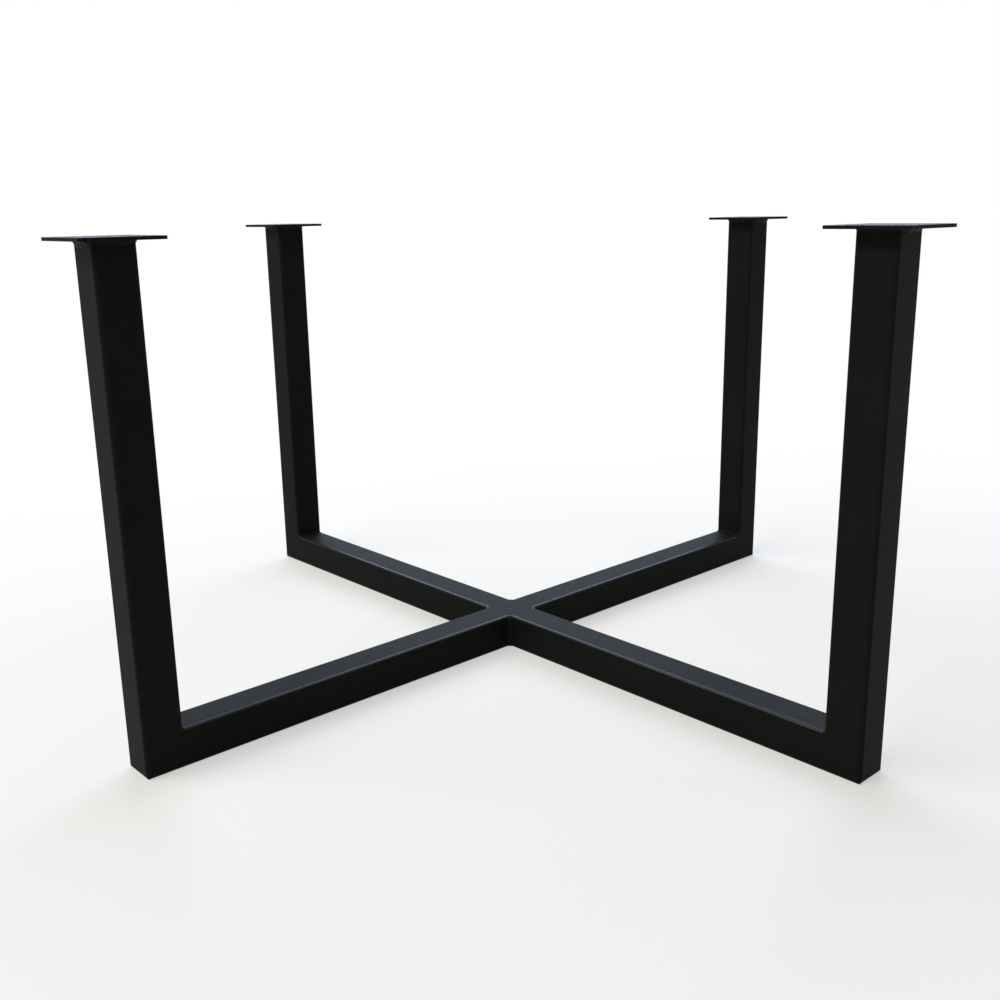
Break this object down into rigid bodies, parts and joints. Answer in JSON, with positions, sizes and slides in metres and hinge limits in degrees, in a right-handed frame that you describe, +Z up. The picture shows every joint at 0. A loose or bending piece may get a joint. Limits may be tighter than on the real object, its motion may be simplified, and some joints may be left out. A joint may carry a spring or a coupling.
{
  "type": "coffee table frame",
  "caption": "Square-tube table frame: rails crossed on the floor carry an upright at each end, with a square screw plate on top.",
  "frame": {"origin": "on the floor, under the middle of the cross", "axes": "+Z up; X along the through rail, with +X to the right; Y along the half rails, with +Y to the back"},
  "size_m": [0.8106, 0.8106, 0.4],
  "materials": {
    "black_powder_coat": "satin, with a fine grain"
  },
  "bodies": {
    "root": {"through_rail": "black_powder_coat", "upright_right": "black_powder_coat", "top_plate_right": "black_powder_coat", "plate_weld_right": "black_powder_coat", "corner_weld_right": "black_powder_coat", "upright_back": "black_powder_coat", "top_plate_back": "black_powder_coat", "plate_weld_back": "black_powder_coat", "corner_weld_back": "black_powder_coat", "half_rail_back": "black_powder_coat", "cross_weld_back": "black_powder_coat", "upright_left": "black_powder_coat", "top_plate_left": "black_powder_coat", "plate_weld_left": "black_powder_coat", "corner_weld_left": "black_powder_coat", "upright_front": "black_powder_coat", "top_plate_front": "black_powder_coat", "plate_weld_front": "black_powder_coat", "corner_weld_front": "black_powder_coat", "half_rail_front": "black_powder_coat", "cross_weld_front": "black_powder_coat"}
  },
  "joints": []
}
